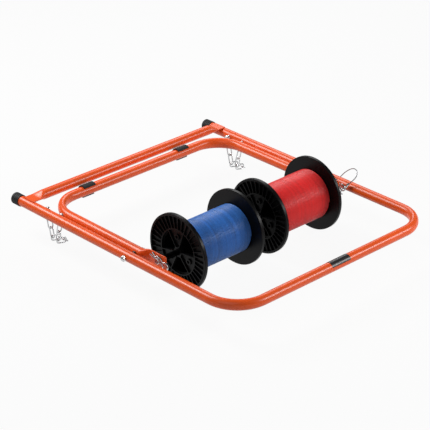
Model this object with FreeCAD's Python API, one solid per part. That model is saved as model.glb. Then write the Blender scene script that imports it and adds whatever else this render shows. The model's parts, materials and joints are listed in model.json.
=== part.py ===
import FreeCAD, Part
import math
import os

# Folding cable caddy, folded flat: a bent tube frame with a smaller bent tube
# stand pivoted inside it, and two spools of wire on an axle rod.
# Millimetres, +Z up. X runs along the legs, from the feet to the handle, and
# Y runs across. The origin is on the floor under the middle of the object.
# Near is the -Y side and far is the +Y side, which mirrors it.

# Main frame
tube_d = 22.2
frame_width = 560.0
frame_length = 676.0
frame_bend = 72.0
frame_squash = 0.88

# Rubber caps on the leg ends
cap_wall = 1.9
cap_grip = 19.0
cap_end = 3.0
cap_groove = 0.7
cap_grooves = 3

# Cross tube welded on top of the legs
cross_d = 22.0
cross_setback = 45.0
press_t = 2.6
cross_tab = 34.0
cross_taper = 20.0

# Stand
stand_d = 22.2
stand_gap = 5.8
stand_from_cross = 6.9
stand_bend = 72.0
stand_squash = 0.8
plate_lift = 3.0
plate_taper_start = 8.0
plate_taper = 28.0
plate_beyond_axle = 17.0
plate_corner = 4.0

# Pivot bolts
pivot_from_handle = 311.0
pivot_bolt_d = 6.35
pivot_head_d = 11.5
pivot_head_h = 2.6
pivot_washer_d = 12.0
pivot_washer_t = 1.2
acorn_flats = 11.1
acorn_base = 3.8
acorn_dome_d = 10.0
acorn_thread = 6.0
acorn_tip_wall = 1.3

# Axle rod
axle_d = 12.7
axle_from_pivot = 65.3
axle_rise = 7.5
axle_overhang = 10.0
axle_chamfer = 1.0

# Hitch pins through the ends of the axle
pin_wire = 3.0
pin_from_plate = 5.7
pin_tilt = 17.0
pin_tail = 24.0
pin_ring_x = 22.5
pin_ring_y = 2.0
pin_ring_r = 7.0

# Spools
flange_d = 165.2
flange_t = 8.0
flange_web = 2.5
flange_rim = 5.0
flange_ribs = 36
rib_t = 1.6
rib_h = 4.0
flange_edge_round = 1.2
ring_wall = 2.4
ring_h = 6.5
spoke_walls_t = 1.8
spoke_spread = 54.0
spoke_turn = 98.0
boss_r = 32.0
boss_d = 13.0
boss_hole = 7.0
barrel_d = 99.0
barrel_wall = 2.5
barrel_length = 151.5
arbor_d = 14.3
arbor_wall = 3.4
wire_d = 3.0
blue_layers = 1
red_layers = 2
wire_groove = 1.1
blue_spool_y = -123.0
red_spool_y = 107.4

# Rubber feet of the stand
pad_wall = 3.2
pad_length = 31.0
pad_spread = 275.0
pad_shift = -5.0
pad_open_from = -80.0
pad_open_to = 50.0

# Chains that limit how far the stand opens
link_wire = 2.8
link_length = 28.0
link_width = 14.5
link_play = 0.4
chain_main_from_end = 13.0
chain_stand_from_end = 58.0
chain_from_frame = 4.3
chain_droop = 13.2
chain_roll = 30.0
chain_screw_d = 5.0
chain_head_d = 10.5
chain_head_h = 2.2
chain_screw_grip = 9.0

# Wire rope lanyard of the far hitch pin
lanyard_d = 2.0
ferrule_d = 5.4
ferrule_length = 12.0

# Label wrapped on the handle
label_length = 53.0
label_shift = 3.5
label_t = 0.4
label_from = 18.0
label_to = 150.0

# Clearances
fit = 0.05
running = 0.1
free_gap = 0.3

# Places worked out from the sizes above
V = FreeCAD.Vector
tube_r = tube_d / 2
stand_r = stand_d / 2
total_length = frame_length + cap_end + tube_r
handle_x = total_length / 2 - tube_r
foot_x = handle_x - frame_length
frame_z = flange_d / 2 - axle_rise
leg_y = frame_width / 2
leg_in_y = leg_y - tube_r
leg_out_y = leg_y + tube_r
pivot_x = handle_x - pivot_from_handle
stand_y = leg_in_y - stand_gap - stand_r
axle_x = pivot_x + axle_from_pivot
axle_z = frame_z + axle_rise
plate_out_y = stand_y + press_t / 2
axle_half = plate_out_y + axle_overhang
pin_y = plate_out_y + pin_from_plate
cross_x = foot_x + cross_setback
cross_z = frame_z + tube_r + press_t / 2 - 0.4
stand_end_x = cross_x + cross_d / 2 + stand_from_cross + stand_r
chain_y = leg_in_y - chain_from_frame
chain_main_x = stand_end_x + chain_main_from_end
chain_stand_x = stand_end_x + chain_stand_from_end
link_loop_r = (link_width - link_wire) / 2
link_flat = link_length - link_width


def rod(start, end, radius):
    """A round bar between two points."""
    along = end - start
    return Part.makeCylinder(radius, along.Length, start, along)


def across(x, z, y0, y1, radius):
    """A round bar along Y."""
    return rod(V(x, y0, z), V(x, y1, z), radius)


def join(shapes):
    """One solid from pieces that overlap or touch."""
    return shapes[0].multiFuse(shapes[1:]).removeSplitter()


def mirrored(shape):
    """The same piece on the other side."""
    return shape.mirror(V(0, 0, 0), V(0, 1, 0))


def spun(x, z, profile):
    """A body turned about an axis along Y, from (radius, y) points."""
    points = [V(x + radius, y, z) for radius, y in profile]
    face = Part.Face(Part.makePolygon(points + points[:1]))
    return face.revolve(V(x, 0, z), V(0, 1, 0), 360)


def rounded_path(points, radii):
    """Straight runs joined by tangent arcs, one radius for each inner point."""
    edges = []
    last = points[0]
    for before, corner, after, radius in zip(points, points[1:], points[2:], radii):
        arrive = (before - corner).normalize()
        leave = (after - corner).normalize()
        half = arrive.getAngle(leave) / 2
        reach = radius / math.tan(half)
        centre = corner + (arrive + leave).normalize() * (radius / math.sin(half))
        start = corner + arrive * reach
        end = corner + leave * reach
        middle = centre + (corner - centre).normalize() * radius
        if (start - last).Length > 0.001:
            edges.append(Part.makeLine(last, start))
        edges.append(Part.Arc(start, middle, end).toShape())
        last = end
    edges.append(Part.makeLine(last, points[-1]))
    return Part.Wire(edges)


def swept(path, radius):
    """A round wire along a path."""
    first = path.OrderedEdges[0]
    start = first.valueAt(first.FirstParameter)
    heading = first.tangentAt(first.FirstParameter)
    section = Part.Wire(Part.makeCircle(radius, start, heading))
    return path.makePipeShell([section], True, False)


def bend(centre, bend_radius, radius, from_deg, to_deg, squash):
    """A tube bend in the level plane, its section flattened towards the middle of the bend."""
    steps = 8
    sections = []
    for step in range(steps + 1):
        share = step / steps
        angle = math.radians(from_deg + (to_deg - from_deg) * share)
        out = V(math.cos(angle), math.sin(angle), 0)
        middle = centre + out * bend_radius
        flat = (1 - squash) * math.sin(math.pi * share)
        tall = radius * (1 + flat / 2)
        wide = radius * (1 - flat)
        if flat < 0.001:
            sections.append(Part.Wire(Part.makeCircle(radius, middle, out.cross(V(0, 0, 1)))))
        else:
            oval = Part.Ellipse(middle + V(0, 0, tall), middle + out * wide, middle)
            sections.append(Part.Wire(oval.toShape()))
    return Part.makeLoft(sections, True, False)


def bent_tube(closed_x, open_x, half_width, z, bend_radius, radius, squash):
    """A tube bent twice into a U, its closed end at closed_x."""
    way = 1 if closed_x > open_x else -1
    bend_x = closed_x - way * bend_radius
    bend_y = half_width - bend_radius
    pieces = [across(closed_x, z, -bend_y, bend_y, radius)]
    for side in (-1, 1):
        leg_start = V(open_x, side * half_width, z)
        pieces.append(rod(leg_start, V(bend_x, side * half_width, z), radius))
        closed_deg = 0 if way > 0 else side * 180
        centre = V(bend_x, side * bend_y, z)
        pieces.append(bend(centre, bend_radius, radius, side * 90, closed_deg, squash))
    return join(pieces)


def pressed_width(diameter):
    """How wide a round tube gets when it is pressed flat to press_t."""
    return (math.pi * diameter - math.pi * press_t) / 2 + press_t


def pressed_section(centre, wide_way, thin_way, diameter, share):
    """A tube section, round at share 0 and pressed flat at share 1."""
    corner = diameter / 2 / math.sqrt(2)
    width = pressed_width(diameter)
    corner_wide = corner + ((width - press_t) / 2 - corner) * share
    corner_thin = corner + (press_t / 2 - corner) * share
    top = diameter / 2 + (press_t / 2 - diameter / 2) * share
    side = diameter / 2 + (width / 2 - diameter / 2) * share

    def at(wide, thin):
        return centre + wide_way * wide + thin_way * thin

    ring = [at(corner_wide, corner_thin), at(0, top), at(-corner_wide, corner_thin),
            at(-side, 0), at(-corner_wide, -corner_thin), at(0, -top),
            at(corner_wide, -corner_thin), at(side, 0)]
    edges = []
    for index in range(0, 8, 2):
        start = ring[index]
        middle = ring[index + 1]
        end = ring[(index + 2) % 8]
        if share == 1 and index % 4 == 0:
            edges.append(Part.makeLine(start, end))
        else:
            edges.append(Part.Arc(start, middle, end).toShape())
    return Part.Wire(edges)


def pressed_end(start, along, wide_way, diameter, taper, flat, lift):
    """The end of a tube pressed flat: a taper, then a flat of the given length."""
    thin_way = along.cross(wide_way)
    sections = []
    steps = 5
    for step in range(steps + 1):
        run = step / steps
        share = run * (1 + run * (3 - 2 * run)) / 2
        centre = start + along * (taper * run) + wide_way * (lift * share)
        sections.append(pressed_section(centre, wide_way, thin_way, diameter, share))
    flat_face = Part.Face(sections[-1])
    return [Part.makeLoft(sections, True, False), flat_face.extrude(along * flat)]


def make_main_frame():
    """The bent main tube, drilled for the pivot bolts and the chain screws."""
    frame = bent_tube(handle_x, foot_x, leg_y, frame_z, frame_bend, tube_r, frame_squash)
    holes = []
    for side in (-1, 1):
        inner = side * (leg_in_y - 1)
        hole_end = side * (leg_out_y + 1)
        holes.append(across(pivot_x, frame_z, inner, hole_end, pivot_bolt_d / 2 + fit))
        screw_end = side * (leg_in_y + chain_screw_grip + free_gap)
        holes.append(across(chain_main_x, frame_z, inner, screw_end, chain_screw_d / 2 + fit))
    return frame.cut(holes)


def make_cross_tube():
    """The cross tube, its ends pressed flat and saddled on the legs."""
    round_half = leg_y - cross_taper - cross_tab / 2
    pieces = [across(cross_x, cross_z, -round_half, round_half, cross_d / 2)]
    for side in (-1, 1):
        start = V(cross_x, side * round_half, cross_z)
        flat = leg_y - round_half - cross_taper + 2.0
        pieces += pressed_end(start, V(0, side, 0), V(1, 0, 0), cross_d, cross_taper, flat, 0)
    tube = join(pieces)
    legs = [rod(V(foot_x, side * leg_y, frame_z), V(0, side * leg_y, frame_z), tube_r)
            for side in (-1, 1)]
    return tube.cut(legs)


def make_foot_cap():
    """A grooved rubber cap that grips the end of the near leg."""
    outer = tube_r + cap_wall
    inner = tube_r + fit
    grip_x = foot_x + cap_grip
    cap = rod(V(foot_x - cap_end, -leg_y, frame_z), V(grip_x, -leg_y, frame_z), outer)
    rims = [edge for edge in cap.Edges
            if edge.BoundBox.XLength < 0.01 and edge.BoundBox.XMin < foot_x]
    cap = cap.makeFillet(cap_end * 0.6, rims)
    cuts = [rod(V(foot_x, -leg_y, frame_z), V(grip_x + 1, -leg_y, frame_z), inner)]
    for index in range(cap_grooves):
        groove_x = foot_x + cap_grip * (index + 1) / (cap_grooves + 1)
        centre = V(groove_x, -leg_y, frame_z)
        cuts.append(Part.makeTorus(outer + cap_groove / 4, cap_groove, centre, V(1, 0, 0)))
    return cap.cut(cuts)


def stand_screw_seat():
    """How far out the flat under the stand's chain screw lies."""
    past_bend = stand_end_x + stand_bend - chain_stand_x
    inset = 0
    if past_bend > 0:
        inset = stand_bend - math.sqrt(stand_bend ** 2 - past_bend ** 2)
    return stand_y - inset + stand_r * stand_squash


def make_stand_frame():
    """The stand: a bent tube whose leg ends are pressed into upright plates for the axle."""
    taper_x = pivot_x + plate_taper_start
    stand = bent_tube(stand_end_x, taper_x, stand_y, frame_z, stand_bend, stand_r, stand_squash)
    flat_start = taper_x + plate_taper
    flat = axle_x + plate_beyond_axle - flat_start
    pieces = [stand]
    holes = []
    for side in (-1, 1):
        start = V(taper_x, side * stand_y, frame_z)
        up = V(0, 0, 1)
        pieces += pressed_end(start, V(1, 0, 0), up, stand_d, plate_taper, flat, plate_lift)
        hole_from = side * (stand_y - stand_r - 2)
        hole_to = side * (stand_y + stand_r + 2)
        holes.append(across(pivot_x, frame_z, hole_from, hole_to, pivot_bolt_d / 2 + running))
        holes.append(across(axle_x, axle_z, hole_from, hole_to, axle_d / 2 + fit))
        seat = side * stand_screw_seat()
        bottom = side * (stand_screw_seat() - chain_screw_grip - free_gap)
        holes.append(across(chain_stand_x, frame_z, seat, hole_to, chain_head_d / 2 + fit))
        holes.append(across(chain_stand_x, frame_z, bottom, hole_to, chain_screw_d / 2 + fit))
        for upper in (-1, 1):
            holes.append(plate_corner_cut(side, upper))
    return join(pieces).cut(holes)


def plate_corner_cut(side, upper):
    """The waste outside one rounded corner of an axle plate."""
    half = pressed_width(stand_d) / 2
    end_x = axle_x + plate_beyond_axle
    corner = V(end_x, side * (stand_y - press_t), frame_z + plate_lift + upper * half)
    centre = corner + V(-plate_corner, 0, -upper * plate_corner)
    block = Part.makeBox(plate_corner + 1, 2 * press_t, plate_corner + 1)
    low_z = centre.z if upper > 0 else centre.z - plate_corner - 1
    low_y = min(side * (stand_y - press_t), side * (stand_y + press_t))
    block.translate(V(centre.x, low_y, low_z))
    keep = across(centre.x, centre.z, low_y - 1, low_y + 2 * press_t + 1, plate_corner)
    return block.cut(keep)


def make_stand_pad(middle_y):
    """A rubber foot snapped round the closed end of the stand."""
    outer = stand_r + pad_wall
    y0 = middle_y - pad_length / 2
    y1 = y0 + pad_length
    sleeve = across(stand_end_x, frame_z, y0, y1, outer)
    sleeve = sleeve.cut(across(stand_end_x, frame_z, y0 - 1, y1 + 1, stand_r + fit))
    reach = outer * 2
    points = [V(stand_end_x, y0 - 1, frame_z)]
    for turn in (pad_open_from, (pad_open_from + pad_open_to) / 2, pad_open_to):
        angle = math.radians(turn)
        points.append(V(stand_end_x + reach * math.cos(angle), y0 - 1,
                        frame_z + reach * math.sin(angle)))
    opening = Part.Face(Part.makePolygon(points + points[:1])).extrude(V(0, pad_length + 2, 0))
    return sleeve.cut(opening)


def make_pivot_bolt():
    """The near pivot bolt, its round head inside the stand leg."""
    head_y = -(stand_y - stand_r - free_gap)
    end_y = -(leg_out_y + pivot_washer_t + acorn_thread - free_gap)
    head_r = pivot_head_d / 2
    shank_r = pivot_bolt_d / 2
    profile = [(0, end_y), (shank_r - 0.8, end_y), (shank_r, end_y + 0.8), (shank_r, head_y),
               (head_r, head_y), (head_r, head_y + pivot_head_h * 0.4),
               (head_r * 0.8, head_y + pivot_head_h * 0.8), (head_r * 0.4, head_y + pivot_head_h),
               (0, head_y + pivot_head_h)]
    return spun(pivot_x, frame_z, profile)


def make_pivot_spacer():
    """The spacer between the near legs, on the pivot bolt."""
    hole_r = pivot_bolt_d / 2 + fit
    ring = across(pivot_x, frame_z, -leg_in_y, -(stand_y + stand_r + free_gap), pivot_washer_d / 2)
    return ring.cut(across(pivot_x, frame_z, -leg_out_y, 0, hole_r))


def make_pivot_washer():
    """The washer under the near acorn nut."""
    outer_y = -(leg_out_y + pivot_washer_t)
    ring = across(pivot_x, frame_z, outer_y, -leg_out_y, pivot_washer_d / 2)
    return ring.cut(across(pivot_x, frame_z, outer_y - 1, 0, pivot_bolt_d / 2 + fit))


def make_acorn_nut():
    """The domed nut outside the near leg."""
    seat_y = -(leg_out_y + pivot_washer_t)
    corner_r = acorn_flats / math.sqrt(3)
    points = [V(pivot_x + corner_r * math.cos(math.radians(60 * index)), seat_y,
                frame_z + corner_r * math.sin(math.radians(60 * index))) for index in range(6)]
    hexagon = Part.Face(Part.makePolygon(points + points[:1])).extrude(V(0, -acorn_base, 0))
    dome_r = acorn_dome_d / 2
    tip_y = seat_y - acorn_thread - acorn_tip_wall
    profile = [(0, seat_y), (dome_r, seat_y), (dome_r, seat_y - acorn_base)]
    for turn in (30, 60, 80):
        angle = math.radians(turn)
        drop = (seat_y - acorn_base - tip_y) * math.sin(angle)
        profile.append((dome_r * math.cos(angle), seat_y - acorn_base - drop))
    profile.append((0, tip_y))
    nut = join([hexagon, spun(pivot_x, frame_z, profile)])
    bore = across(pivot_x, frame_z, seat_y - acorn_thread, seat_y + 1, pivot_bolt_d / 2 + fit)
    return nut.cut(bore)


def make_axle():
    """The rod that carries the spools, drilled across near both ends."""
    rod_r = axle_d / 2
    profile = [(0, -axle_half), (rod_r - axle_chamfer, -axle_half),
               (rod_r, -axle_half + axle_chamfer), (rod_r, axle_half - axle_chamfer),
               (rod_r - axle_chamfer, axle_half), (0, axle_half)]
    axle = spun(axle_x, axle_z, profile)
    hole_way = V(math.cos(math.radians(pin_tilt)), 0, -math.sin(math.radians(pin_tilt)))
    holes = []
    for side in (-1, 1):
        centre = V(axle_x, side * pin_y, axle_z)
        holes.append(rod(centre - hole_way * axle_d, centre + hole_way * axle_d,
                         pin_wire / 2 + running))
    return axle.cut(holes)


def make_hitch_pin():
    """The near spring wire pin: a straight leg through the axle, a ring and a curved leg."""
    tilt = math.radians(pin_tilt)
    along = V(math.cos(tilt), 0, -math.sin(tilt))
    up = V(math.sin(tilt), 0, math.cos(tilt))
    centre = V(axle_x, -pin_y, axle_z)

    def at(u, v):
        return centre + along * u + up * v

    corner = pin_ring_r / math.cos(math.radians(30))
    hump = axle_d / 2 + pin_wire / 2 + 1.05
    ring = [(pin_ring_x + corner * math.cos(math.radians(turn)),
             pin_ring_y + corner * math.sin(math.radians(turn))) for turn in (240, 300, 0, 60, 120)]
    neck_x = pin_ring_x - pin_ring_r - 2
    route = [(-pin_tail, 0), (neck_x, 0)] + ring
    route += [(neck_x, 4.6), (hump * 0.55, hump), (-hump * 0.55, hump), (-8.0, 3.4), (-19.0, 8.6)]
    ring_fillet = pin_ring_r * 0.97
    radii = [3.0] + [ring_fillet] * 5 + [3.0, 3.5, 3.5, 2.2]
    return swept(rounded_path([at(u, v) for u, v in route], radii), pin_wire / 2)


def make_flange():
    """A near flange, its inner face at y 0 and its moulded ribs on the outer side."""
    outer = flange_d / 2
    barrel_r = barrel_d / 2
    hub_r = arbor_d / 2 + arbor_wall
    body = spun(0, 0, [(0, 0), (outer, 0), (outer, -flange_t), (outer - flange_rim, -flange_t),
                       (outer - flange_rim, -flange_web), (barrel_r + ring_wall / 2, -flange_web),
                       (barrel_r + ring_wall / 2, -ring_h), (barrel_r - ring_wall / 2, -ring_h),
                       (barrel_r - ring_wall / 2, -flange_web), (hub_r, -flange_web),
                       (hub_r, -ring_h), (0, -ring_h)])
    edges = [edge for edge in body.Edges
             if abs(edge.BoundBox.XLength - flange_d) < 0.01 and edge.BoundBox.YLength < 0.01]
    body = body.makeFillet(flange_edge_round, edges)
    rib_from = barrel_r + ring_wall / 2 - 0.5
    rib_to = outer - flange_rim + 0.5
    ribs = []
    for index in range(flange_ribs):
        rib = Part.makeBox(rib_to - rib_from, rib_h + 0.5, rib_t,
                           V(rib_from, -flange_web - rib_h, -rib_t / 2))
        ribs.append(turned(rib, 360 * index / flange_ribs))
    windows = []
    for index in range(3):
        middle = spoke_turn + 120 * index
        for edge_turn in (-spoke_spread / 2, spoke_spread / 2):
            wall = Part.makeBox(barrel_r - hub_r, ring_h - flange_web + 0.5, spoke_walls_t,
                                V(hub_r - 0.5, -ring_h, -spoke_walls_t / 2))
            ribs.append(turned(wall, middle + edge_turn))
        boss = across(boss_r, 0, -ring_h + 1, 0, boss_d / 2)
        ribs.append(turned(boss, middle))
        windows.append(turned(across(boss_r, 0, -flange_t, 1, boss_hole / 2), middle))
        windows.append(turned(window_cut(hub_r, barrel_r), middle + 60))
    windows.append(across(0, 0, -flange_t - 1, 1, arbor_d / 2))
    return join([body] + ribs).cut(windows)


def turned(shape, degrees):
    """The shape turned about the Y axis through the origin."""
    copy = shape.copy()
    copy.rotate(V(0, 0, 0), V(0, 1, 0), -degrees)
    return copy


def window_cut(hub_r, barrel_r):
    """An open sector of the flange web, between two spokes."""
    low = hub_r + 3
    high = barrel_r - barrel_wall - 1.5
    half = math.radians(60 - spoke_spread / 2) - (spoke_walls_t / 2 + 1) / low
    half_high = math.radians(60 - spoke_spread / 2) - (spoke_walls_t / 2 + 1) / high

    def at(radius, angle):
        return V(radius * math.cos(angle), -flange_t, radius * math.sin(angle))

    edges = [Part.Arc(at(low, -half), at(low, 0), at(low, half)).toShape(),
             Part.makeLine(at(low, half), at(high, half_high)),
             Part.Arc(at(high, half_high), at(high, 0), at(high, -half_high)).toShape(),
             Part.makeLine(at(high, -half_high), at(low, -half))]
    return Part.Face(Part.Wire(edges)).extrude(V(0, flange_t + 1, 0))


def make_barrel():
    """The hollow drum between two flanges, with the tube that runs on the axle."""
    half = barrel_length / 2
    drum = across(0, 0, -half, half, barrel_d / 2)
    drum = drum.cut(across(0, 0, -half - 1, half + 1, barrel_d / 2 - barrel_wall))
    hub_r = arbor_d / 2 + arbor_wall
    parts = [drum, across(0, 0, -half, half, hub_r)]
    for index in range(3):
        web = Part.makeBox(barrel_d / 2 - barrel_wall - hub_r + 1, barrel_length, spoke_walls_t,
                           V(hub_r - 0.5, -half, -spoke_walls_t / 2))
        parts.append(turned(web, spoke_turn + 120 * index))
    return join(parts).cut(across(0, 0, -half - 1, half + 1, arbor_d / 2))


def make_winding(layers):
    """The wound wire as one sleeve round the barrel, with a rib for each turn."""
    winding_r = barrel_d / 2 + layers * wire_d
    half = barrel_length / 2 - fit
    turns = int(2 * half / wire_d)
    pitch = 2 * half / turns
    inner_r = barrel_d / 2 + fit
    profile = [(inner_r, half), (inner_r, -half)]
    for index in range(turns):
        start = -half + index * pitch
        profile += [(winding_r - wire_groove, start), (winding_r, start + 0.28 * pitch),
                    (winding_r, start + 0.72 * pitch)]
    profile.append((winding_r - wire_groove, half))
    return spun(0, 0, profile)


def make_link():
    """One welded oval chain link, lying along X in the level plane."""
    half = link_flat / 2
    pieces = []
    for side in (-1, 1):
        pieces.append(rod(V(-half, side * link_loop_r, 0), V(half, side * link_loop_r, 0),
                          link_wire / 2))
        start = V(side * half, link_loop_r, 0)
        disc = Part.Face(Part.Wire(Part.makeCircle(link_wire / 2, start, V(1, 0, 0))))
        pieces.append(disc.revolve(V(side * half, 0, 0), V(0, 0, 1), -side * 180))
    return join(pieces)


def next_link(link, pull, heading):
    """Middle, heading and normal of the link that is caught in the end of this one."""
    middle, along, normal = link
    loop = middle + along * (link_flat / 2)
    step = link_length / 2 - 1.5 * link_wire - link_play
    return loop + pull * link_loop_r + heading * step, heading, pull.cross(normal)


def chain_links():
    """Middle, heading and normal of each near link, from the frame's screw to the stand's.

    Three links hang from each screw, leaning together. The fourth of each lies on the floor,
    and one link joins the two.
    """
    hang = chain_screw_d / 2 + link_wire / 2 + fit - link_loop_r
    pitch = link_length - 2 * link_wire - link_play
    inset = (chain_stand_x - chain_main_x) / 2 - (link_length / 2 - 1.5 * link_wire - link_play)
    lean = math.asin(inset / (link_flat + 2 * pitch))
    droop = math.radians(chain_droop)
    strands = []
    for screw_x, way in ((chain_main_x, 1), (chain_stand_x, -1)):
        down = V(way * math.sin(lean), 0, -math.cos(lean))
        middle = V(screw_x, -chain_y, frame_z + hang) + down * (link_flat / 2)
        links = [(middle, down, V(0, 1, 0))]
        links.append(next_link(links[-1], down, down))
        links.append(next_link(links[-1], down, down))
        links.append(next_link(links[-1], V(0, 0, -1), V(0, math.cos(droop), -math.sin(droop))))
        strands.append(links)
    roll = math.radians(chain_roll)
    joining = next_link(strands[0][-1], V(0, math.cos(roll), -math.sin(roll)), V(1, 0, 0))
    return strands[0] + [joining] + strands[1][::-1]


def make_chain():
    """The near chain: nine links turned a quarter to one another, end to end."""
    link = make_link()
    links = []
    for middle, along, normal in chain_links():
        side = normal.cross(along)
        place = FreeCAD.Matrix(along.x, side.x, normal.x, middle.x,
                               along.y, side.y, normal.y, middle.y,
                               along.z, side.z, normal.z, middle.z,
                               0, 0, 0, 1)
        copy = link.copy()
        copy.transformShape(place)
        links.append(copy)
    return Part.makeCompound(links)


def make_chain_screw(x, seat, head, tip):
    """A screw along Y with a collar from seat to the link, from its tip to its head."""
    way = 1 if head > tip else -1
    link_side = -chain_y - way * (link_wire / 2 + free_gap)
    head_side = -chain_y + way * (link_wire / 2 + free_gap)
    shank_r = chain_screw_d / 2
    profile = [(0, tip), (shank_r, tip), (shank_r, seat), (chain_head_d / 2, seat),
               (chain_head_d / 2, link_side), (shank_r, link_side), (shank_r, head_side),
               (chain_head_d / 2, head_side), (chain_head_d / 2, head - way * 0.8),
               (chain_head_d / 2 - 0.8, head), (0, head)]
    return spun(x, frame_z, profile)


def make_main_chain_screw():
    """The screw that holds the chain on the near main leg."""
    head = -chain_y + link_wire / 2 + free_gap + chain_head_h
    return make_chain_screw(chain_main_x, -leg_in_y, head, -leg_in_y - chain_screw_grip)


def make_stand_chain_screw():
    """The screw that holds the chain on the near stand leg."""
    seat = -stand_screw_seat()
    head = -chain_y - link_wire / 2 - free_gap - chain_head_h
    return make_chain_screw(chain_stand_x, seat, head, seat + chain_screw_grip)


def lanyard_points():
    """Points of the lanyard's route, from the top of its ferrule round the leg and back."""
    tilt = math.radians(pin_tilt)
    ring_x = axle_x + pin_ring_x * math.cos(tilt) + pin_ring_y * math.sin(tilt)
    ring_z = axle_z - pin_ring_x * math.sin(tilt) + pin_ring_y * math.cos(tilt)
    lower = V(ring_x + 4.0, leg_in_y - 3.6, ring_z + 1.1)
    upper = lower + V(0.6, 0, 0.8) * ferrule_length
    return [upper,
            V(ring_x + 22.5, leg_in_y - 1.9, ring_z + 22.0),
            V(ring_x + 28.0, leg_in_y + 4.5, ring_z + 34.0),
            V(ring_x + 19.5, leg_y + 1.5, ring_z + 42.0),
            V(ring_x + 2.0, leg_y + 9.0, ring_z + 37.5),
            V(ring_x - 15.0, leg_out_y + 3.5, ring_z + 26.5),
            V(ring_x - 32.0, leg_out_y + 6.0, ring_z + 11.5),
            V(ring_x - 46.0, leg_out_y + 4.0, ring_z - 8.0),
            V(ring_x - 36.0, leg_y + 3.0, ring_z - 25.0),
            V(ring_x - 18.0, leg_y - 9.0, ring_z - 26.0),
            V(ring_x - 2.5, pin_y + 5.5, ring_z - 18.5),
            V(ring_x + 1.9, pin_y - 8.6, ring_z - 10.0),
            V(ring_x + 3.2, pin_y - 6.6, ring_z + 0.3),
            lower]


def make_lanyard():
    """The wire rope round the far leg, through the far pin's ring."""
    points = lanyard_points()
    radii = []
    for before, corner, after in zip(points, points[1:], points[2:]):
        shorter = min((before - corner).Length, (after - corner).Length)
        turn = math.pi - (before - corner).getAngle(after - corner)
        radii.append(0.45 * shorter / math.tan(turn / 2))
    path = rounded_path(points, radii)
    print("lanyard length", round(path.Length, 1), "radii", [round(radius, 1) for radius in radii])
    rope = swept(path, lanyard_d / 2)
    print("lanyard volume share", round(rope.Volume / (path.Length * math.pi * lanyard_d ** 2 / 4), 4))
    return rope


def make_ferrule():
    """The crimped sleeve that joins the lanyard's ends."""
    points = lanyard_points()
    return rod(points[-1], points[0], ferrule_d / 2)


def make_label():
    """A bare label wrapped on top of the handle."""
    y0 = label_shift - label_length / 2
    y1 = y0 + label_length
    sleeve = across(handle_x, frame_z, y0, y1, tube_r + label_t)
    sleeve = sleeve.cut(across(handle_x, frame_z, y0 - 1, y1 + 1, tube_r))
    reach = tube_r * 3
    points = [V(handle_x, y0 - 1, frame_z)]
    for turn in (label_from, (label_from + label_to) / 2, label_to):
        angle = math.radians(turn)
        points.append(V(handle_x + reach * math.cos(angle), y0 - 1,
                        frame_z + reach * math.sin(angle)))
    sector = Part.Face(Part.makePolygon(points + points[:1])).extrude(V(0, label_length + 2, 0))
    return sleeve.common(sector)


def placed(shape, y):
    """The spool piece on the axle, with its middle at y."""
    copy = shape.copy()
    copy.translate(V(axle_x, y, axle_z))
    return copy


def make_parts():
    """Every sub-part by its name."""
    parts = {"main_frame": make_main_frame(),
             "cross_tube": make_cross_tube(),
             "stand_frame": make_stand_frame(),
             "axle_rod": make_axle(),
             "lanyard": make_lanyard(),
             "lanyard_ferrule": make_ferrule(),
             "handle_label": make_label(),
             "stand_pad_near": make_stand_pad(pad_shift - pad_spread / 2),
             "stand_pad_far": make_stand_pad(pad_shift + pad_spread / 2)}
    pairs = {"foot_cap": make_foot_cap(),
             "pivot_bolt": make_pivot_bolt(),
             "pivot_spacer": make_pivot_spacer(),
             "pivot_washer": make_pivot_washer(),
             "acorn_nut": make_acorn_nut(),
             "hitch_pin": make_hitch_pin(),
             "frame_chain_screw": make_main_chain_screw(),
             "stand_chain_screw": make_stand_chain_screw()}
    for name, shape in pairs.items():
        parts[name + "_near"] = shape
        parts[name + "_far"] = mirrored(shape)
    chain = make_chain()
    parts["spread_chain_near"] = chain
    parts["spread_chain_far"] = chain.translated(V(0, 2 * chain_y, 0))
    flange = make_flange()
    barrel = make_barrel()
    for colour, middle, layers in (("blue", blue_spool_y, blue_layers),
                                   ("red", red_spool_y, red_layers)):
        parts[colour + "_flange_near"] = placed(flange, middle - barrel_length / 2)
        parts[colour + "_flange_far"] = placed(mirrored(flange), middle + barrel_length / 2)
        parts[colour + "_barrel"] = placed(barrel, middle)
        parts[colour + "_winding"] = placed(make_winding(layers), middle)
    return parts


os.makedirs("parts", exist_ok=True)
for name, shape in make_parts().items():
    if not shape.isValid():
        print("not valid:", name)
    shape.exportStep("parts/" + name + ".step")
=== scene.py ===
import json
import math
import random

import bpy
from bpy.props import FloatProperty, FloatVectorProperty, IntProperty, PointerProperty
from mathutils import Matrix, Vector


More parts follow.
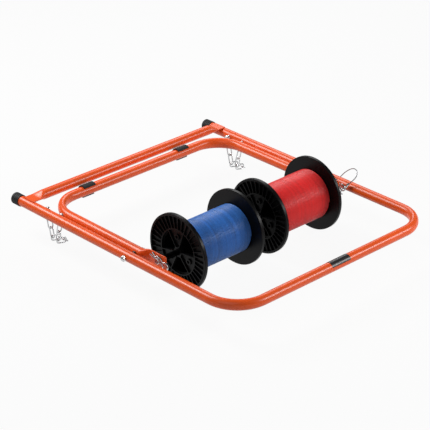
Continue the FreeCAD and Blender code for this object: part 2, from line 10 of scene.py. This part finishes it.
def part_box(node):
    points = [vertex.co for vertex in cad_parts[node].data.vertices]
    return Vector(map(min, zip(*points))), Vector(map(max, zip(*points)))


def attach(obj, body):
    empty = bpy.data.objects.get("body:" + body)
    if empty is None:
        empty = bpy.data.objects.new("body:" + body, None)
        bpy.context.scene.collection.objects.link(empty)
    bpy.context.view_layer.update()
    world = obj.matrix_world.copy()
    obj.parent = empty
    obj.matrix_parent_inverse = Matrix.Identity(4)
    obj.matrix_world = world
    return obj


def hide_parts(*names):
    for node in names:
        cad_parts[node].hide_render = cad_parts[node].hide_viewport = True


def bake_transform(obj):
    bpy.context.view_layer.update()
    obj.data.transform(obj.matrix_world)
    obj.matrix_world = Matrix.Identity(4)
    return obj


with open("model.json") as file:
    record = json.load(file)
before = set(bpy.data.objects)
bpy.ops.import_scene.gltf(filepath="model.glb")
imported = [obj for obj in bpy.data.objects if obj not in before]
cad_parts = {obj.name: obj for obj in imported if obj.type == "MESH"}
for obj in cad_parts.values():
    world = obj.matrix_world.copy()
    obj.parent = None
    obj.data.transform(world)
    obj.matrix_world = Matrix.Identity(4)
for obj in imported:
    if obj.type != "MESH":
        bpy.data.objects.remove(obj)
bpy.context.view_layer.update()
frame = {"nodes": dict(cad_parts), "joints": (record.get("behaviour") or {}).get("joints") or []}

# Folding cable caddy: finishes, wound wire, chains, lanyard and studio.
# Metres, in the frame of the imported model.

bl_info = {
    "name": "Folding cable caddy",
    "version": (1, 0, 0),
    "blender": (4, 5, 0),
    "location": "3D View > Sidebar > Caddy",
    "description": "Finishes and dresses a folding tube caddy with two spools of wire",
    "category": "Object",
}

MM = 0.001
# Length at each end of the axle rod that gets the zinc colour instead of the dark one.
BRIGHT_ROD_END = 9.5 * MM
NODES = frame["nodes"]
JOINTS = {joint["name"]: joint for joint in frame["joints"]}


def linear(code):
    """An sRGB hex colour as linear red, green, blue and alpha."""
    values = [int(code[i:i + 2], 16) / 255 for i in (1, 3, 5)]
    return [v / 12.92 if v <= 0.04045 else ((v + 0.055) / 1.055) ** 2.4 for v in values] + [1.0]


# Settings a user would change

class TubeSettings(bpy.types.PropertyGroup):
    coat_colour: FloatVectorProperty(
        name="Coat colour", description="Powder coat on the bent tubes", subtype="COLOR",
        size=4, min=0, max=1, default=linear("#DF5216"))
    peel_size: FloatProperty(
        name="Orange peel", description="Width of the dimples in the powder coat",
        unit="LENGTH", default=1.6 * MM)
    rubber_colour: FloatVectorProperty(
        name="Rubber colour", description="Caps and feet", subtype="COLOR",
        size=4, min=0, max=1, default=linear("#0E0E0F"))


class SpoolSettings(bpy.types.PropertyGroup):
    blue_jacket: FloatVectorProperty(
        name="Blue jacket", description="Colour of the wire on the blue spool", subtype="COLOR",
        size=4, min=0, max=1, default=linear("#2966B2"))
    red_jacket: FloatVectorProperty(
        name="Red jacket", description="Colour of the wire on the red spool", subtype="COLOR",
        size=4, min=0, max=1, default=linear("#DC2626"))
    plastic_colour: FloatVectorProperty(
        name="Flange plastic", description="Moulded flanges and barrels", subtype="COLOR",
        size=4, min=0, max=1, default=linear("#050506"))
    turns: IntProperty(
        name="Turns", description="Turns of wire in the top layer of a winding", min=8, default=50)
    unevenness: FloatProperty(
        name="Unevenness", description="How far a turn of wire strays from its place",
        unit="LENGTH", default=0.16 * MM)


class HardwareSettings(bpy.types.PropertyGroup):
    zinc_colour: FloatVectorProperty(
        name="Zinc colour", description="Plated screws, nuts, chains and pins", subtype="COLOR",
        size=4, min=0, max=1, default=linear("#D0D1D2"))
    oxide_colour: FloatVectorProperty(
        name="Oxide colour", description="Blackened length of the axle rod", subtype="COLOR",
        size=4, min=0, max=1, default=linear("#2A2A2C"))
    rope_diameter: FloatProperty(
        name="Rope diameter", description="Wire rope of the lanyard", unit="LENGTH", default=2.0 * MM)


class StageSettings(bpy.types.PropertyGroup):
    lens: FloatProperty(name="Lens", description="Camera lens in millimetres", default=148.0)
    feet_power: FloatProperty(
        name="Feet lamp", description="Soft lamp beyond the feet", unit="POWER", default=37.0)
    handle_power: FloatProperty(
        name="Handle lamp", description="Strip lamp behind the handle", unit="POWER", default=26.0)
    back_power: FloatProperty(
        name="Back lamp", description="Lamp behind the caddy", unit="POWER", default=9.0)
    front_power: FloatProperty(
        name="Front lamp", description="Wide weak lamp in front", unit="POWER", default=9.0)
    sky_strength: FloatProperty(name="Sky", description="Even light from all round", default=0.16)
    floor_colour: FloatVectorProperty(
        name="Floor", description="Studio floor", subtype="COLOR", size=4, min=0, max=1,
        default=linear("#BDBDBD"))


# Materials

def add_node(tree, kind, inputs=None, **settings):
    """Adds a node with its settings, and its inputs as values or as links from other sockets."""
    node = tree.nodes.new(kind)
    for key, value in settings.items():
        setattr(node, key, value)
    for key, value in (inputs or {}).items():
        if isinstance(value, bpy.types.NodeSocket):
            tree.links.new(value, node.inputs[key])
        else:
            node.inputs[key].default_value = value
    return node


def new_material(name, **surface):
    """A material with one surface shader, its constants set on the shader's own sockets."""
    material = bpy.data.materials.new(name)
    material.use_nodes = True
    shader = material.node_tree.nodes["Principled BSDF"]
    for key, value in surface.items():
        shader.inputs[key.replace("_", " ")].default_value = value
    return material, material.node_tree, shader


def object_noise(tree, size, detail=3.0, roughness=0.5):
    """Noise on the object's own coordinates whose features are about size metres wide."""
    coords = add_node(tree, "ShaderNodeTexCoord")
    return add_node(tree, "ShaderNodeTexNoise", {
        "Vector": coords.outputs["Object"], "Scale": 1 / size, "Detail": detail,
        "Roughness": roughness})


def tint(tree, factor, low, high, colour):
    """The colour made darker and lighter with a factor."""
    dark = [c * low for c in colour[:3]] + [1.0]
    light = [min(1.0, c * high) for c in colour[:3]] + [1.0]
    ramp = add_node(tree, "ShaderNodeValToRGB", {"Fac": factor})
    ramp.color_ramp.elements[0].position = 0.3
    ramp.color_ramp.elements[0].color = dark
    ramp.color_ramp.elements[1].position = 0.7
    ramp.color_ramp.elements[1].color = light
    return ramp.outputs["Color"]


def spread(tree, factor, low, high):
    """A factor of 0 to 1 spread from low to high."""
    return add_node(tree, "ShaderNodeMapRange", {
        "Value": factor, "To Min": low, "To Max": high}).outputs["Result"]


def powder_coat(settings):
    """Polyester powder coat on steel tube: glossy, with the fine dimples that baking leaves."""
    colour = list(settings.coat_colour)
    material, tree, shader = new_material(
        "polyester_powder_coat", Metallic=0.0, IOR=1.5, Specular_IOR_Level=0.42)
    broad = object_noise(tree, 45 * MM)
    tree.links.new(tint(tree, broad.outputs["Fac"], 0.95, 1.05, colour), shader.inputs["Base Color"])
    tree.links.new(spread(tree, broad.outputs["Fac"], 0.28, 0.36), shader.inputs["Roughness"])
    peel = object_noise(tree, settings.peel_size, 1.0)
    bump = add_node(tree, "ShaderNodeBump", {
        "Height": peel.outputs["Fac"], "Strength": 0.03, "Distance": 0.02 * MM})
    tree.links.new(bump.outputs["Normal"], shader.inputs["Normal"])
    return material


def moulded_rubber(settings):
    """Moulded rubber: dull, with a dusty bloom in patches."""
    colour = list(settings.rubber_colour)
    material, tree, shader = new_material(
        "moulded_rubber", Metallic=0.0, IOR=1.52, Specular_IOR_Level=0.35)
    bloom = object_noise(tree, 6 * MM, 4.0)
    tree.links.new(tint(tree, bloom.outputs["Fac"], 0.8, 1.35, colour), shader.inputs["Base Color"])
    tree.links.new(spread(tree, bloom.outputs["Fac"], 0.55, 0.75), shader.inputs["Roughness"])
    grain = object_noise(tree, 0.8 * MM, 2.0)
    bump = add_node(tree, "ShaderNodeBump", {
        "Height": grain.outputs["Fac"], "Strength": 0.25, "Distance": 0.06 * MM})
    tree.links.new(bump.outputs["Normal"], shader.inputs["Normal"])
    return material


def moulded_polypropylene(settings):
    """Moulded polypropylene: a satin black with faint flow marks and scuffs."""
    colour = list(settings.plastic_colour)
    material, tree, shader = new_material(
        "moulded_polypropylene", Metallic=0.0, IOR=1.49, Specular_IOR_Level=0.12)
    flow = object_noise(tree, 18 * MM, 5.0, 0.6)
    tree.links.new(tint(tree, flow.outputs["Fac"], 0.75, 1.5, colour), shader.inputs["Base Color"])
    tree.links.new(spread(tree, flow.outputs["Fac"], 0.28, 0.44), shader.inputs["Roughness"])
    grain = object_noise(tree, 0.7 * MM, 2.0)
    bump = add_node(tree, "ShaderNodeBump", {
        "Height": grain.outputs["Fac"], "Strength": 0.18, "Distance": 0.05 * MM})
    tree.links.new(bump.outputs["Normal"], shader.inputs["Normal"])
    return material


def black_nylon(settings):
    """Nylon spacer: near black, a little glossier than rubber."""
    material, tree, shader = new_material(
        "black_nylon", Metallic=0.0, IOR=1.53, Base_Color=linear("#151516"))
    grain = object_noise(tree, 1.5 * MM)
    tree.links.new(spread(tree, grain.outputs["Fac"], 0.35, 0.5), shader.inputs["Roughness"])
    return material


def zinc_plate(settings):
    """Bright zinc plate on steel: silvery, with a cloudy grain from the bath."""
    colour = list(settings.zinc_colour)
    material, tree, shader = new_material("bright_zinc_plate", Metallic=1.0)
    cloud = object_noise(tree, 4 * MM, 4.0)
    tree.links.new(tint(tree, cloud.outputs["Fac"], 0.72, 1.1, colour), shader.inputs["Base Color"])
    tree.links.new(spread(tree, cloud.outputs["Fac"], 0.16, 0.32), shader.inputs["Roughness"])
    grain = object_noise(tree, 0.5 * MM, 2.0)
    bump = add_node(tree, "ShaderNodeBump", {
        "Height": grain.outputs["Fac"], "Strength": 0.08, "Distance": 0.03 * MM})
    tree.links.new(bump.outputs["Normal"], shader.inputs["Normal"])
    return material


def black_oxide(settings, bright_from):
    """Black oxide on turned steel: a dark, oily sheen, with the zinc colour on the last stretch at
    both ends of the rod.
    """
    colour = list(settings.oxide_colour)
    material, tree, shader = new_material("black_oxide_steel", Metallic=1.0)
    rubbed = object_noise(tree, 7 * MM, 4.0)
    dark = tint(tree, rubbed.outputs["Fac"], 0.6, 1.6, colour)
    bright = tint(tree, rubbed.outputs["Fac"], 0.85, 1.1, list(settings.zinc_colour))
    # The last stretch at both ends of the rod gets the zinc colour, and the rest gets the dark
    # colour.
    coords = add_node(tree, "ShaderNodeTexCoord")
    along = add_node(tree, "ShaderNodeSeparateXYZ", {0: coords.outputs["Object"]})
    reach = add_node(tree, "ShaderNodeMath", {0: along.outputs["Y"]}, operation="ABSOLUTE")
    bare = add_node(tree, "ShaderNodeMapRange", {
        "Value": reach.outputs[0], "From Min": bright_from, "From Max": bright_from + 0.5 * MM})
    mixed = add_node(tree, "ShaderNodeMixRGB", {
        "Fac": bare.outputs["Result"], "Color1": dark, "Color2": bright})
    tree.links.new(mixed.outputs["Color"], shader.inputs["Base Color"])
    tree.links.new(spread(tree, rubbed.outputs["Fac"], 0.24, 0.4), shader.inputs["Roughness"])
    return material


def wire_jacket(name, colour, pitch, contrast):
    """Extruded PVC jacket: smooth and slightly waxy, with painted shading: bands a little lighter or
    darker across the turns that stand in for the shade and sheen of single turns.
    """
    colour = list(colour)
    material, tree, shader = new_material(
        name, Metallic=0.0, IOR=1.53, Specular_IOR_Level=0.45)
    coords = add_node(tree, "ShaderNodeTexCoord")
    # Painted shading: noise stretched along the axis gives lighter and darker bands about two turns
    # wide.
    along = add_node(tree, "ShaderNodeVectorMath", {
        0: coords.outputs["Object"], 1: (6.0, 0.55 / pitch, 6.0)}, operation="MULTIPLY")
    turns = add_node(tree, "ShaderNodeTexNoise", {
        "Vector": along.outputs[0], "Scale": 1.0, "Detail": 2.0, "Roughness": 0.6})
    shade = tint(tree, turns.outputs["Fac"], 1 - contrast, 1 + 0.8 * contrast, colour)
    tree.links.new(shade, shader.inputs["Base Color"])
    scuff = object_noise(tree, 9 * MM, 4.0, 0.6)
    tree.links.new(spread(tree, scuff.outputs["Fac"], 0.37, 0.46), shader.inputs["Roughness"])
    return material


def label_film():
    """Label film with nothing printed on it: dark, smooth and thin."""
    material, tree, shader = new_material(
        "bare_label_film", Metallic=0.0, IOR=1.5, Base_Color=linear("#1A1818"))
    film = object_noise(tree, 5 * MM)
    tree.links.new(spread(tree, film.outputs["Fac"], 0.3, 0.42), shader.inputs["Roughness"])
    return material


def stranded_steel():
    """Twisted strands of steel wire: the strands' lay shows as a slanting ripple."""
    material, tree, shader = new_material(
        "stranded_steel", Metallic=1.0, Base_Color=linear("#8C8D90"), Roughness=0.34)
    coords = add_node(tree, "ShaderNodeTexCoord")
    lay = add_node(tree, "ShaderNodeTexWave", {
        "Vector": coords.outputs["Object"], "Scale": 0.32 / (0.9 * MM), "Distortion": 0.6},
        bands_direction="DIAGONAL")
    bump = add_node(tree, "ShaderNodeBump", {
        "Height": lay.outputs["Fac"], "Strength": 0.5, "Distance": 0.15 * MM})
    tree.links.new(bump.outputs["Normal"], shader.inputs["Normal"])
    return material


# Modelling helpers

def deselect():
    """Selects nothing."""
    bpy.ops.object.select_all(action="DESELECT")


def only(piece):
    """Selects one piece and makes it active."""
    deselect()
    piece.select_set(True)
    bpy.context.view_layer.objects.active = piece


def node_copy(node, name):
    """A copy of a CAD node, with the shading of its curved faces kept."""
    source = NODES[node]
    piece = bpy.data.objects.new(name, source.data.copy())
    bpy.context.scene.collection.objects.link(piece)
    only(piece)
    return piece


def refine(nodes, material, body):
    """Replaces CAD nodes by copies with a finish."""
    for node in nodes:
        piece = node_copy(node, node + "_finished")
        piece.data.materials.clear()
        piece.data.materials.append(material)
        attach(piece, body)
        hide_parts(node)


def settle(piece):
    """Applies a piece's place, turn and size to its mesh."""
    only(piece)
    bpy.ops.object.transform_apply(location=True, rotation=True, scale=True)


# Pieces

class CADDY_OT_tubes(bpy.types.Operator):
    """Powder coats the main frame, the cross tube and the stand"""
    bl_idname = "caddy.tubes"
    bl_label = "Bent tubes"

    def execute(self, context):
        coat = powder_coat(context.scene.caddy_tubes)
        refine(["main_frame", "cross_tube"], coat, "frame")
        refine(["stand_frame"], coat, "stand")
        return {"FINISHED"}


class CADDY_OT_rubber(bpy.types.Operator):
    """Finishes the caps on the legs and the feet on the stand"""
    bl_idname = "caddy.rubber"
    bl_label = "Rubber caps and feet"

    def execute(self, context):
        rubber = moulded_rubber(context.scene.caddy_tubes)
        refine(["foot_cap_near", "foot_cap_far"], rubber, "frame")
        refine(["stand_pad_near", "stand_pad_far"], rubber, "stand")
        return {"FINISHED"}


class CADDY_OT_hardware(bpy.types.Operator):
    """Finishes the bolts, nuts, washers, spacers, screws, axle rod and pins"""
    bl_idname = "caddy.hardware"
    bl_label = "Bolts, axle and pins"

    def execute(self, context):
        zinc = zinc_plate(context.scene.caddy_hardware)
        sides = ("_near", "_far")
        on_frame = [stem + side for side in sides
                    for stem in ("acorn_nut", "pivot_bolt", "pivot_washer", "frame_chain_screw")]
        refine(on_frame, zinc, "frame")
        refine(["stand_chain_screw" + side for side in sides], zinc, "stand")
        rod_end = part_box("axle_rod")[1].y
        oxide = black_oxide(context.scene.caddy_hardware, rod_end - BRIGHT_ROD_END)
        refine(["axle_rod"], oxide, "stand")
        for side in ("near", "far"):
            refine(["hitch_pin_" + side], zinc, side + "_pin")
        nylon = black_nylon(context.scene.caddy_hardware)
        refine(["pivot_spacer" + side for side in sides], nylon, "frame")
        return {"FINISHED"}


class CADDY_OT_label(bpy.types.Operator):
    """Finishes the bare label on the handle"""
    bl_idname = "caddy.label"
    bl_label = "Bare label"

    def execute(self, context):
        refine(["handle_label"], label_film(), "frame")
        return {"FINISHED"}


class CADDY_OT_spools(bpy.types.Operator):
    """Finishes the moulded flanges and barrels"""
    bl_idname = "caddy.spools"
    bl_label = "Spool mouldings"

    def execute(self, context):
        plastic = moulded_polypropylene(context.scene.caddy_spools)
        for colour in ("blue", "red"):
            parts = [colour + "_flange_near", colour + "_flange_far", colour + "_barrel"]
            refine(parts, plastic, colour + "_spool")
        return {"FINISHED"}


def wind_wire(name, node, turns, unevenness, material):
    """Wire wound turn by turn over a thin sleeve that closes the gaps between turns."""
    low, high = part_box(node)
    centre = (low + high) / 2
    length = high.y - low.y
    outer = (high.z - low.z) / 2
    pitch = length / (turns + 1)
    wire = pitch / 2
    deselect()
    bpy.ops.mesh.primitive_circle_add(vertices=8, radius=wire, location=centre,
                                      rotation=(0, 0, 0), fill_type="NOTHING")
    coil = bpy.context.object
    coil.name = name
    for point in coil.data.vertices:
        point.co = Vector((point.co.x + outer - wire, point.co.y - length / 2 + wire, 0))
    screw = coil.modifiers.new("Wound turns", "SCREW")
    screw.axis = "Y"
    screw.angle = 2 * math.pi
    screw.steps = 72
    screw.render_steps = 72
    screw.screw_offset = pitch
    screw.iterations = turns
    screw.use_merge_vertices = True
    only(coil)
    bpy.ops.object.modifier_apply(modifier=screw.name)
    chance = random.Random(turns + len(name))
    strays = [(chance.uniform(-1, 1), chance.uniform(0, 2 * math.pi)) for _ in range(turns + 2)]
    for point in coil.data.vertices:
        turn = (point.co.y + length / 2) / pitch
        size, phase = strays[int(max(0, min(turns + 1, turn)))]
        angle = math.atan2(point.co.z, point.co.x)
        shrink = unevenness * (0.5 + 0.5 * size * math.sin(angle + phase))
        radius = math.hypot(point.co.x, point.co.z)
        point.co.x *= 1 - shrink / radius
        point.co.z *= 1 - shrink / radius
    bpy.ops.object.mode_set(mode="EDIT")
    bpy.ops.mesh.select_all(action="SELECT")
    bpy.ops.mesh.fill_holes(sides=0)
    bpy.ops.mesh.normals_make_consistent(inside=False)
    bpy.ops.object.mode_set(mode="OBJECT")
    deselect()
    bpy.ops.mesh.primitive_cylinder_add(
        vertices=96, radius=outer - 1.1 * wire, depth=length - wire, end_fill_type="NOTHING",
        location=centre, rotation=(math.pi / 2, 0, 0))
    layer = bpy.context.object
    wall = layer.modifiers.new("Sleeve wall", "SOLIDIFY")
    wall.thickness = 0.8 * wire
    wall.offset = -1
    only(layer)
    bpy.ops.object.modifier_apply(modifier=wall.name)
    deselect()
    layer.select_set(True)
    coil.select_set(True)
    bpy.context.view_layer.objects.active = coil
    bpy.ops.object.join()
    settle(coil)
    bpy.ops.object.shade_smooth_by_angle(angle=math.radians(60))
    coil.data.materials.clear()
    coil.data.materials.append(material)
    return coil


class CADDY_OT_windings(bpy.types.Operator):
    """Winds the wire on both spools"""
    bl_idname = "caddy.windings"
    bl_label = "Wound wire"

    def execute(self, context):
        settings = context.scene.caddy_spools
        # The third number of each entry is the strength of the painted turn shading.
        for colour, jacket, contrast in (("blue", settings.blue_jacket, 0.26),
                                         ("red", settings.red_jacket, 0.12)):
            low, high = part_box(colour + "_winding")
            pitch = (high.y - low.y) / settings.turns
            material = wire_jacket(colour + "_pvc_jacket", jacket, pitch, contrast)
            coil = wind_wire(colour + "_wire", colour + "_winding", settings.turns,
                             settings.unevenness, material)
            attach(coil, colour + "_spool")
            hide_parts(colour + "_winding")
        return {"FINISHED"}


def turned_about_pivot(point, pivot, degrees):
    """A point swung with the stand, positive as it opens."""
    angle = math.radians(degrees)
    x, z = point.x - pivot.x, point.z - pivot.z
    return Vector((pivot.x + x * math.cos(angle) - z * math.sin(angle), point.y,
                   pivot.z + x * math.sin(angle) + z * math.cos(angle)))


def opening_angle(point, pivot):
    """How far below the folded frame a point lies, seen from the pivot, in degrees."""
    return math.degrees(math.atan2(pivot.z - point.z, pivot.x - point.x))


def hold_share(piece, share):
    """Finds where an eased curve reaches a share, but uses nothing of it: the piece only gets its
    place applied to its mesh.
    """
    low, high = 0.0, 1.0
    for _ in range(40):
        middle = (low + high) / 2
        if middle * middle * (3 - 2 * middle) < share:
            low = middle
        else:
            high = middle
    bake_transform(piece)


def chain_pieces(side):
    """The links of one chain in their order from the frame to the stand."""
    node_copy("spread_chain_" + side, "chain_link_" + side)
    bpy.ops.mesh.customdata_custom_splitnormals_clear()
    bpy.ops.object.mode_set(mode="EDIT")
    bpy.ops.mesh.select_all(action="SELECT")
    bpy.ops.mesh.remove_doubles(threshold=0.002 * MM)
    bpy.ops.object.mode_set(mode="OBJECT")
    bpy.ops.object.shade_smooth_by_angle(angle=math.radians(40))
    bpy.ops.object.mode_set(mode="EDIT")
    bpy.ops.mesh.select_all(action="SELECT")
    bpy.ops.mesh.separate(type="LOOSE")
    bpy.ops.object.mode_set(mode="OBJECT")
    links = list(bpy.context.selected_objects)
    bpy.context.view_layer.update()
    centres = {link: sum((Vector(c) for c in link.bound_box), Vector()) / 8 for link in links}
    top = max(centre.z for centre in centres.values()) + 5 * MM
    middle = (min(c.x for c in centres.values()) + max(c.x for c in centres.values())) / 2
    links.sort(key=lambda link: math.atan2(centres[link].z - top, centres[link].x - middle))
    return links, [centres[link] for link in links]


def hang_chain(side, material):
    """One chain whose first third of links goes with the frame. The other links keep their place,
    applied to their meshes, and follow no body, so they do not swing with the stand as it opens.
    """
    links, centres = chain_pieces(side)
    fold = JOINTS["stand_fold"]
    pivot = Vector(fold["pos_m"])
    limit = fold["range_deg"][1]
    third = len(links) // 3
    second_bend = (centres[2 * third - 1] + centres[2 * third]) / 2
    bend_share = 0.2
    landed = turned_about_pivot(second_bend, pivot, limit * bend_share)
    end = turned_about_pivot(centres[-1] + (centres[-1] - centres[-2]) / 2, pivot, limit)
    for index, link in enumerate(links):
        link.name = "chain_link_%s_%d" % (side, index + 1)
        link.data.materials.clear()
        link.data.materials.append(material)
        if index < third:
            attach(link, "frame")
        elif index < 2 * third:
            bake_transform(link)
        else:
            along = (index - 2 * third + 0.5) / (len(links) - 2 * third)
            target = landed.lerp(end, along)
            swing = opening_angle(target, pivot) - opening_angle(centres[index], pivot)
            hold_share(link, swing / limit)
    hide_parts("spread_chain_" + side)


class CADDY_OT_chains(bpy.types.Operator):
    """Hangs the two chains that limit the stand"""
    bl_idname = "caddy.chains"
    bl_label = "Spread chains"

    def execute(self, context):
        zinc = zinc_plate(context.scene.caddy_hardware)
        for side in ("near", "far"):
            hang_chain(side, zinc)
        return {"FINISHED"}


# The lanyard's route in millimetres, from the top of its sleeve round the leg and back

LANYARD_ROUTE = [
    (121.55, 265.3, 88.63), (132.85, 267.0, 99.93), (138.35, 273.4, 111.93),
    (129.85, 281.5, 119.93), (112.35, 289.0, 115.43), (95.35, 294.6, 104.43),
    (78.35, 297.1, 89.43), (64.35, 295.1, 69.93), (74.35, 283.0, 52.93), (92.35, 271.0, 51.93),
    (107.85, 264.5, 59.43), (112.25, 250.4, 67.93), (113.55, 252.4, 78.23), (114.35, 265.3, 79.03)]

def route_curve(name, route):
    """An open smooth spline that follows a route and meets both its ends."""
    curve = bpy.data.curves.new(name, "CURVE")
    curve.dimensions = "3D"
    curve.resolution_u = 10
    spline = curve.splines.new("NURBS")
    spline.points.add(len(route) - 1)
    for point, place in zip(spline.points, route):
        point.co = [value * MM for value in place] + [1.0]
    spline.order_u = 3
    spline.use_endpoint_u = True
    piece = bpy.data.objects.new(name, curve)
    bpy.context.scene.collection.objects.link(piece)
    return piece


def line_points(piece):
    """The points that a spline follows."""
    bpy.context.view_layer.update()
    mesh = bpy.data.meshes.new_from_object(piece.evaluated_get(bpy.context.evaluated_depsgraph_get()))
    points = [point.co.copy() for point in mesh.vertices]
    bpy.data.meshes.remove(mesh)
    return points


class CADDY_OT_lanyard(bpy.types.Operator):
    """Makes the wire rope lanyard of the far pin and its crimped sleeve"""
    bl_idname = "caddy.lanyard"
    bl_label = "Lanyard"

    def execute(self, context):
        settings = context.scene.caddy_hardware
        rope = route_curve("wire_rope_lanyard", LANYARD_ROUTE)
        path = line_points(rope)
        rope.data.bevel_depth = settings.rope_diameter / 2
        rope.data.bevel_resolution = 3
        rope.data.use_fill_caps = True
        only(rope)
        bpy.ops.object.convert(target="MESH")
        rope = bpy.context.object
        rope.data.materials.clear()
        rope.data.materials.append(stranded_steel())
        sleeve = node_copy("lanyard_ferrule", "crimped_sleeve")
        sleeve.data.materials.clear()
        sleeve.data.materials.append(zinc_plate(settings))
        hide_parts("lanyard_ferrule")
        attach(sleeve, "stand")
        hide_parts("lanyard")
        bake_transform(rope)
        return {"FINISHED"}


# Stage

CAMERA_PLACE = (2.4103, -2.3145, 1.7608)
CAMERA_TURN = math.radians(46.38)
CAMERA_RISE = math.radians(26.95)
LAMP_AIM = (0, 0, 0.08)
PAPER_GLOW = 0.93


def area_lamp(name, place, along, size, power):
    """A soft lamp of two sizes that looks at the caddy, its longer side along a direction."""
    data = bpy.data.lights.new(name, "AREA")
    data.shape = "RECTANGLE"
    data.size, data.size_y = size
    data.energy = power
    lamp = bpy.data.objects.new(name, data)
    bpy.context.scene.collection.objects.link(lamp)
    back = (Vector(place) - Vector(LAMP_AIM)).normalized()
    wide = (Vector(along) - back * back.dot(Vector(along))).normalized()
    turn = Matrix((wide, back.cross(wide), back)).transposed().to_4x4()
    lamp.matrix_world = Matrix.Translation(place) @ turn


def seen_directly(tree):
    """One where the camera, a gloss or clear glass shows the background, and zero for soft light."""
    rays = add_node(tree, "ShaderNodeLightPath")
    either = add_node(tree, "ShaderNodeMath", {
        0: rays.outputs["Is Camera Ray"], 1: rays.outputs["Is Glossy Ray"]}, operation="MAXIMUM")
    return add_node(tree, "ShaderNodeMath", {
        0: either.outputs[0], 1: rays.outputs["Is Transmission Ray"]},
        operation="MAXIMUM").outputs[0]


def studio_floor(colour):
    """A wide pale floor that shows as white paper and keeps a soft shadow."""
    deselect()
    bpy.ops.mesh.primitive_plane_add(size=30, location=(0, 0, -0.0005))
    floor = bpy.context.object
    floor.name = "studio_floor"
    material = bpy.data.materials.new("studio_paper")
    material.use_nodes = True
    tree = material.node_tree
    tree.nodes.clear()
    paper = add_node(tree, "ShaderNodeBsdfDiffuse", {"Color": colour})
    glow = add_node(tree, "ShaderNodeEmission", {"Color": (1, 1, 1, 1), "Strength": 1.0})
    seen = add_node(tree, "ShaderNodeMixShader", {
        0: PAPER_GLOW, 1: paper.outputs[0], 2: glow.outputs[0]})
    both = add_node(tree, "ShaderNodeMixShader", {
        0: seen_directly(tree), 1: paper.outputs[0], 2: seen.outputs[0]})
    add_node(tree, "ShaderNodeOutputMaterial", {"Surface": both.outputs[0]})
    floor.data.materials.append(material)


class CADDY_OT_stage(bpy.types.Operator):
    """Sets the camera, the lamps, the world and the floor"""
    bl_idname = "caddy.stage"
    bl_label = "Camera and studio"

    def execute(self, context):
        settings = context.scene.caddy_stage
        camera = bpy.data.objects.new("camera", bpy.data.cameras.new("camera"))
        context.scene.collection.objects.link(camera)
        camera.data.lens = settings.lens
        camera.data.sensor_width = 36
        camera.data.clip_end = 60
        back = Vector((math.sin(CAMERA_TURN) * math.cos(CAMERA_RISE),
                       -math.cos(CAMERA_TURN) * math.cos(CAMERA_RISE), math.sin(CAMERA_RISE)))
        camera.location = CAMERA_PLACE
        camera.rotation_mode = "QUATERNION"
        camera.rotation_quaternion = (-back).to_track_quat("-Z", "Y")
        context.scene.camera = camera
        along_x, along_y = (1, 0, 0), (0, 1, 0)
        area_lamp("feet_lamp", (-1.29, -0.6, 1.5), along_x, (1.1, 0.7), settings.feet_power)
        area_lamp("handle_lamp", (1.5, 1.1, 0.86), along_y, (1.2, 0.36), settings.handle_power)
        area_lamp("back_lamp", (-1.08, 1.23, 1.2), along_x, (0.8, 0.8), settings.back_power)
        area_lamp("front_lamp", (0.9, -2.0, 1.3), along_x, (1.8, 1.8), settings.front_power)
        world = bpy.data.worlds.new("studio")
        context.scene.world = world
        world.use_nodes = True
        tree = world.node_tree
        tree.nodes.clear()
        even = add_node(tree, "ShaderNodeBackground", {
            "Color": (1, 1, 1, 1), "Strength": settings.sky_strength})
        add_node(tree, "ShaderNodeOutputWorld", {"Surface": even.outputs[0]})
        context.scene.view_settings.view_transform = "Standard"
        studio_floor(list(settings.floor_colour))
        return {"FINISHED"}


STEPS = ["stage", "lanyard", "tubes", "rubber", "hardware", "label", "spools", "windings", "chains"]


class CADDY_PT_panel(bpy.types.Panel):
    """Lists the settings and the steps in the sidebar"""
    bl_idname = "CADDY_PT_panel"
    bl_label = "Folding cable caddy"
    bl_space_type = "VIEW_3D"
    bl_region_type = "UI"
    bl_category = "Caddy"

    def draw(self, context):
        for group in ("caddy_tubes", "caddy_spools", "caddy_hardware", "caddy_stage"):
            settings = getattr(context.scene, group)
            box = self.layout.box()
            for name in settings.__annotations__:
                box.prop(settings, name)
        for step in STEPS:
            self.layout.operator("caddy." + step)


CLASSES = (TubeSettings, SpoolSettings, HardwareSettings, StageSettings, CADDY_OT_tubes,
           CADDY_OT_rubber, CADDY_OT_hardware, CADDY_OT_label, CADDY_OT_spools,
           CADDY_OT_windings, CADDY_OT_chains, CADDY_OT_lanyard, CADDY_OT_stage, CADDY_PT_panel)


def register():
    for each in CLASSES:
        bpy.utils.register_class(each)
    bpy.types.Scene.caddy_tubes = PointerProperty(type=TubeSettings)
    bpy.types.Scene.caddy_spools = PointerProperty(type=SpoolSettings)
    bpy.types.Scene.caddy_hardware = PointerProperty(type=HardwareSettings)
    bpy.types.Scene.caddy_stage = PointerProperty(type=StageSettings)


def unregister():
    for group in ("caddy_tubes", "caddy_spools", "caddy_hardware", "caddy_stage"):
        delattr(bpy.types.Scene, group)
    for each in reversed(CLASSES):
        bpy.utils.unregister_class(each)


def main():
    register()
    for step in STEPS:
        getattr(bpy.ops.caddy, step)()


if __name__ == "__main__":
    main()
